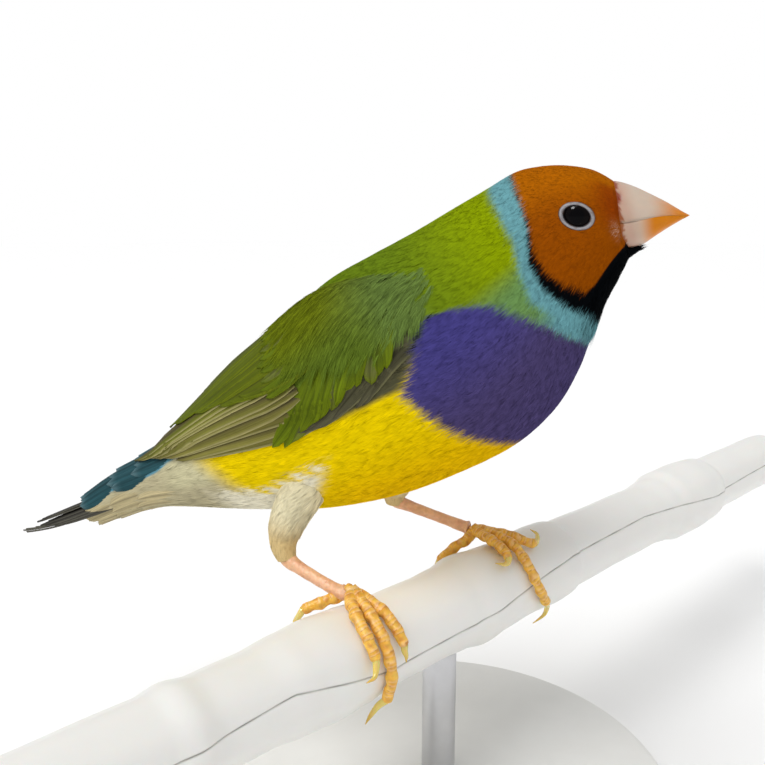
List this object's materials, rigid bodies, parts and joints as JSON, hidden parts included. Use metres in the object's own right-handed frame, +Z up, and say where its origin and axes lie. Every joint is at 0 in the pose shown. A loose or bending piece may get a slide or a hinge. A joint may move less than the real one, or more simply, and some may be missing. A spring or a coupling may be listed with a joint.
{
  "type": "gouldian finch on a perch with a display stand",
  "caption": "Still, life-size finch with a conical bill, folded wings and a short pointed tail, gripping a cut length of moulded perch on a round display stand.",
  "frame": {"origin": "centre of the stand base's underside, straight below the point of the perch axis midway between the feet", "axes": "+X towards the bill, -Y to the bird's right, +Z up; the perch runs level at 59.6 degrees from +X towards +Y"},
  "size_m": [0.158, 0.1932, 0.1161],
  "materials": {
    "plumage_mask": "matt feathers, orange-brown mask with a black edge",
    "plumage_nape": "matt feathers, turquoise collar running into yellow-green",
    "plumage_body": "matt feathers, green back, purple breast and yellow belly",
    "plumage_wing": "matt feathers, olive green with fine dark streaks",
    "plumage_tail": "matt feathers, slate blue coverts over black tail feathers",
    "plumage_thigh": "soft off-white feathers",
    "bill_horn": "horn with a soft sheen, pale pink with an orange tip",
    "eye_gloss": "wet gloss",
    "leg_skin": "scaled skin, pink-orange",
    "claw_horn": "translucent yellow horn",
    "perch_moulding": "satin off-white moulding",
    "stand_plate": "satin white",
    "stand_metal": "satin white paint"
  },
  "bodies": {
    "root": {"bill_lower": "bill_horn", "bill_upper": "bill_horn", "claw_left_hind": "claw_horn", "claw_left_inner": "claw_horn", "claw_left_middle": "claw_horn", "claw_left_outer": "claw_horn", "claw_right_hind": "claw_horn", "claw_right_inner": "claw_horn", "claw_right_middle": "claw_horn", "claw_right_outer": "claw_horn", "eye_left": "eye_gloss", "eye_right": "eye_gloss", "foot_left": "leg_skin", "foot_right": "leg_skin", "head": "plumage_mask", "neck": "plumage_nape", "perch": "perch_moulding", "stand_base": "stand_plate", "stand_rod": "stand_metal", "tail": "plumage_tail", "tarsus_left": "leg_skin", "tarsus_right": "leg_skin", "thigh_left": "plumage_thigh", "thigh_right": "plumage_thigh", "torso": "plumage_body", "wing_left": "plumage_wing", "wing_right": "plumage_wing"}
  },
  "joints": []
}
